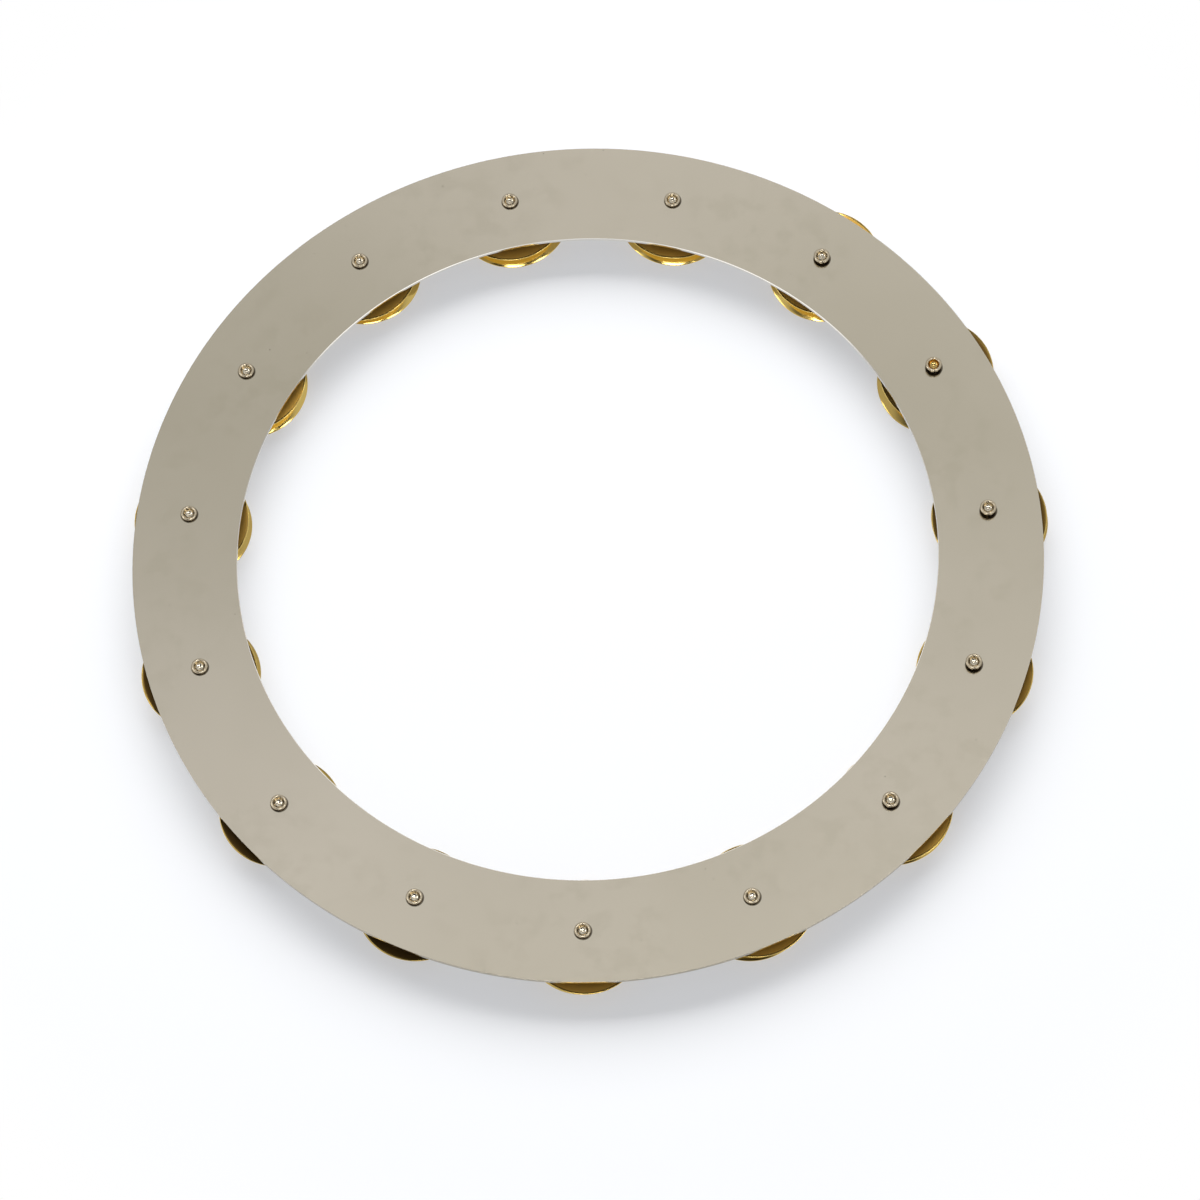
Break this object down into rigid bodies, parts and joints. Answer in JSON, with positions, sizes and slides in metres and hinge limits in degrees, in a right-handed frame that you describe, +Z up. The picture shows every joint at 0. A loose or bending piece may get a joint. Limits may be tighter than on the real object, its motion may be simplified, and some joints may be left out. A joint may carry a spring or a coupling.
{
  "type": "jingle ring",
  "caption": "Flat polished steel ring with pairs of loose brass jingles riveted under it; it lies on a drum head and rattles at each stroke.",
  "frame": {"origin": "on the ring's axis, on the surface that the lower jingles stand on", "axes": "+Z up along the ring's axis, -Y towards the first rivet"},
  "size_m": [0.3323, 0.3333, 0.0141],
  "materials": {
    "plate_steel": "polished stainless sheet with faint smudges",
    "rivet_nickel": "bright nickel plate",
    "jingle_brass": "polished spun brass"
  },
  "bodies": {
    "ring": {"ring_plate": "plate_steel"},
    "rivet_01": {"rivet_01": "rivet_nickel"},
    "upper_jingle_01": {"upper_jingle_01": "jingle_brass"},
    "lower_jingle_01": {"lower_jingle_01": "jingle_brass"},
    "rivet_02": {"rivet_02": "rivet_nickel"},
    "upper_jingle_02": {"upper_jingle_02": "jingle_brass"},
    "lower_jingle_02": {"lower_jingle_02": "jingle_brass"},
    "rivet_03": {"rivet_03": "rivet_nickel"},
    "upper_jingle_03": {"upper_jingle_03": "jingle_brass"},
    "lower_jingle_03": {"lower_jingle_03": "jingle_brass"},
    "rivet_04": {"rivet_04": "rivet_nickel"},
    "upper_jingle_04": {"upper_jingle_04": "jingle_brass"},
    "lower_jingle_04": {"lower_jingle_04": "jingle_brass"},
    "rivet_05": {"rivet_05": "rivet_nickel"},
    "upper_jingle_05": {"upper_jingle_05": "jingle_brass"},
    "lower_jingle_05": {"lower_jingle_05": "jingle_brass"},
    "rivet_06": {"rivet_06": "rivet_nickel"},
    "upper_jingle_06": {"upper_jingle_06": "jingle_brass"},
    "lower_jingle_06": {"lower_jingle_06": "jingle_brass"},
    "rivet_07": {"rivet_07": "rivet_nickel"},
    "upper_jingle_07": {"upper_jingle_07": "jingle_brass"},
    "lower_jingle_07": {"lower_jingle_07": "jingle_brass"},
    "rivet_08": {"rivet_08": "rivet_nickel"},
    "upper_jingle_08": {"upper_jingle_08": "jingle_brass"},
    "lower_jingle_08": {"lower_jingle_08": "jingle_brass"},
    "rivet_09": {"rivet_09": "rivet_nickel"},
    "upper_jingle_09": {"upper_jingle_09": "jingle_brass"},
    "lower_jingle_09": {"lower_jingle_09": "jingle_brass"},
    "rivet_10": {"rivet_10": "rivet_nickel"},
    "upper_jingle_10": {"upper_jingle_10": "jingle_brass"},
    "lower_jingle_10": {"lower_jingle_10": "jingle_brass"},
    "rivet_11": {"rivet_11": "rivet_nickel"},
    "upper_jingle_11": {"upper_jingle_11": "jingle_brass"},
    "lower_jingle_11": {"lower_jingle_11": "jingle_brass"},
    "rivet_12": {"rivet_12": "rivet_nickel"},
    "upper_jingle_12": {"upper_jingle_12": "jingle_brass"},
    "lower_jingle_12": {"lower_jingle_12": "jingle_brass"},
    "rivet_13": {"rivet_13": "rivet_nickel"},
    "upper_jingle_13": {"upper_jingle_13": "jingle_brass"},
    "lower_jingle_13": {"lower_jingle_13": "jingle_brass"},
    "rivet_14": {"rivet_14": "rivet_nickel"},
    "upper_jingle_14": {"upper_jingle_14": "jingle_brass"},
    "lower_jingle_14": {"lower_jingle_14": "jingle_brass"},
    "rivet_15": {"rivet_15": "rivet_nickel"},
    "upper_jingle_15": {"upper_jingle_15": "jingle_brass"},
    "lower_jingle_15": {"lower_jingle_15": "jingle_brass"}
  },
  "joints": [
    {"name": "rivet_01_slide", "type": "slide", "parent": "ring", "child": "rivet_01", "axis": [0, 0, 1], "range_m": [0, 0.0008]},
    {"name": "upper_jingle_01_drop", "type": "slide", "parent": "ring", "child": "upper_jingle_01", "axis": [0, 0, 1], "range_m": [-0.00085, 0]},
    {"name": "lower_jingle_01_drop", "type": "slide", "parent": "upper_jingle_01", "child": "lower_jingle_01", "axis": [0, 0, 1], "range_m": [-0.00085, 0]},
    {"name": "rivet_02_slide", "type": "slide", "parent": "ring", "child": "rivet_02", "axis": [0, 0, 1], "range_m": [0, 0.0008]},
    {"name": "upper_jingle_02_drop", "type": "slide", "parent": "ring", "child": "upper_jingle_02", "axis": [0, 0, 1], "range_m": [-0.00085, 0]},
    {"name": "lower_jingle_02_drop", "type": "slide", "parent": "upper_jingle_02", "child": "lower_jingle_02", "axis": [0, 0, 1], "range_m": [-0.00085, 0]},
    {"name": "rivet_03_slide", "type": "slide", "parent": "ring", "child": "rivet_03", "axis": [0, 0, 1], "range_m": [-0.00115, 0]},
    {"name": "upper_jingle_03_drop", "type": "slide", "parent": "ring", "child": "upper_jingle_03", "axis": [0, 0, 1], "range_m": [-0.00067, 0]},
    {"name": "lower_jingle_03_drop", "type": "slide", "parent": "upper_jingle_03", "child": "lower_jingle_03", "axis": [0, 0, 1], "range_m": [-0.00067, 0]},
    {"name": "rivet_04_slide", "type": "slide", "parent": "ring", "child": "rivet_04", "axis": [0, 0, 1], "range_m": [-0.00156, 0]},
    {"name": "upper_jingle_04_drop", "type": "slide", "parent": "ring", "child": "upper_jingle_04", "axis": [0, 0, 1], "range_m": [-0.00047, 0]},
    {"name": "lower_jingle_04_drop", "type": "slide", "parent": "upper_jingle_04", "child": "lower_jingle_04", "axis": [0, 0, 1], "range_m": [-0.00047, 0]},
    {"name": "rivet_05_slide", "type": "slide", "parent": "ring", "child": "rivet_05", "axis": [0, 0, 1], "range_m": [-0.0017, 0]},
    {"name": "upper_jingle_05_drop", "type": "slide", "parent": "ring", "child": "upper_jingle_05", "axis": [0, 0, 1], "range_m": [-0.0004, 0]},
    {"name": "lower_jingle_05_drop", "type": "slide", "parent": "upper_jingle_05", "child": "lower_jingle_05", "axis": [0, 0, 1], "range_m": [-0.0004, 0]},
    {"name": "rivet_06_slide", "type": "slide", "parent": "ring", "child": "rivet_06", "axis": [0, 0, 1], "range_m": [-0.0016, 0]},
    {"name": "upper_jingle_06_drop", "type": "slide", "parent": "ring", "child": "upper_jingle_06", "axis": [0, 0, 1], "range_m": [-0.00044, 0]},
    {"name": "lower_jingle_06_drop", "type": "slide", "parent": "upper_jingle_06", "child": "lower_jingle_06", "axis": [0, 0, 1], "range_m": [-0.00044, 0]},
    {"name": "rivet_07_slide", "type": "slide", "parent": "ring", "child": "rivet_07", "axis": [0, 0, 1], "range_m": [-0.00124, 0]},
    {"name": "upper_jingle_07_drop", "type": "slide", "parent": "ring", "child": "upper_jingle_07", "axis": [0, 0, 1], "range_m": [-0.00063, 0]},
    {"name": "lower_jingle_07_drop", "type": "slide", "parent": "upper_jingle_07", "child": "lower_jingle_07", "axis": [0, 0, 1], "range_m": [-0.00063, 0]},
    {"name": "rivet_08_slide", "type": "slide", "parent": "ring", "child": "rivet_08", "axis": [0, 0, 1], "range_m": [0, 0.0008]},
    {"name": "upper_jingle_08_drop", "type": "slide", "parent": "ring", "child": "upper_jingle_08", "axis": [0, 0, 1], "range_m": [-0.00085, 0]},
    {"name": "lower_jingle_08_drop", "type": "slide", "parent": "upper_jingle_08", "child": "lower_jingle_08", "axis": [0, 0, 1], "range_m": [-0.00085, 0]},
    {"name": "rivet_09_slide", "type": "slide", "parent": "ring", "child": "rivet_09", "axis": [0, 0, 1], "range_m": [0, 0.0008]},
    {"name": "upper_jingle_09_drop", "type": "slide", "parent": "ring", "child": "upper_jingle_09", "axis": [0, 0, 1], "range_m": [-0.00085, 0]},
    {"name": "lower_jingle_09_drop", "type": "slide", "parent": "upper_jingle_09", "child": "lower_jingle_09", "axis": [0, 0, 1], "range_m": [-0.00085, 0]},
    {"name": "rivet_10_slide", "type": "slide", "parent": "ring", "child": "rivet_10", "axis": [0, 0, 1], "range_m": [0, 0.0008]},
    {"name": "upper_jingle_10_drop", "type": "slide", "parent": "ring", "child": "upper_jingle_10", "axis": [0, 0, 1], "range_m": [-0.00085, 0]},
    {"name": "lower_jingle_10_drop", "type": "slide", "parent": "upper_jingle_10", "child": "lower_jingle_10", "axis": [0, 0, 1], "range_m": [-0.00085, 0]},
    {"name": "rivet_11_slide", "type": "slide", "parent": "ring", "child": "rivet_11", "axis": [0, 0, 1], "range_m": [0, 0.0008]},
    {"name": "upper_jingle_11_drop", "type": "slide", "parent": "ring", "child": "upper_jingle_11", "axis": [0, 0, 1], "range_m": [-0.00085, 0]},
    {"name": "lower_jingle_11_drop", "type": "slide", "parent": "upper_jingle_11", "child": "lower_jingle_11", "axis": [0, 0, 1], "range_m": [-0.00085, 0]},
    {"name": "rivet_12_slide", "type": "slide", "parent": "ring", "child": "rivet_12", "axis": [0, 0, 1], "range_m": [0, 0.0008]},
    {"name": "upper_jingle_12_drop", "type": "slide", "parent": "ring", "child": "upper_jingle_12", "axis": [0, 0, 1], "range_m": [-0.00085, 0]},
    {"name": "lower_jingle_12_drop", "type": "slide", "parent": "upper_jingle_12", "child": "lower_jingle_12", "axis": [0, 0, 1], "range_m": [-0.00085, 0]},
    {"name": "rivet_13_slide", "type": "slide", "parent": "ring", "child": "rivet_13", "axis": [0, 0, 1], "range_m": [0, 0.0008]},
    {"name": "upper_jingle_13_drop", "type": "slide", "parent": "ring", "child": "upper_jingle_13", "axis": [0, 0, 1], "range_m": [-0.00085, 0]},
    {"name": "lower_jingle_13_drop", "type": "slide", "parent": "upper_jingle_13", "child": "lower_jingle_13", "axis": [0, 0, 1], "range_m": [-0.00085, 0]},
    {"name": "rivet_14_slide", "type": "slide", "parent": "ring", "child": "rivet_14", "axis": [0, 0, 1], "range_m": [0, 0.0008]},
    {"name": "upper_jingle_14_drop", "type": "slide", "parent": "ring", "child": "upper_jingle_14", "axis": [0, 0, 1], "range_m": [-0.00085, 0]},
    {"name": "lower_jingle_14_drop", "type": "slide", "parent": "upper_jingle_14", "child": "lower_jingle_14", "axis": [0, 0, 1], "range_m": [-0.00085, 0]},
    {"name": "rivet_15_slide", "type": "slide", "parent": "ring", "child": "rivet_15", "axis": [0, 0, 1], "range_m": [0, 0.0008]},
    {"name": "upper_jingle_15_drop", "type": "slide", "parent": "ring", "child": "upper_jingle_15", "axis": [0, 0, 1], "range_m": [-0.00085, 0]},
    {"name": "lower_jingle_15_drop", "type": "slide", "parent": "upper_jingle_15", "child": "lower_jingle_15", "axis": [0, 0, 1], "range_m": [-0.00085, 0]}
  ]
}
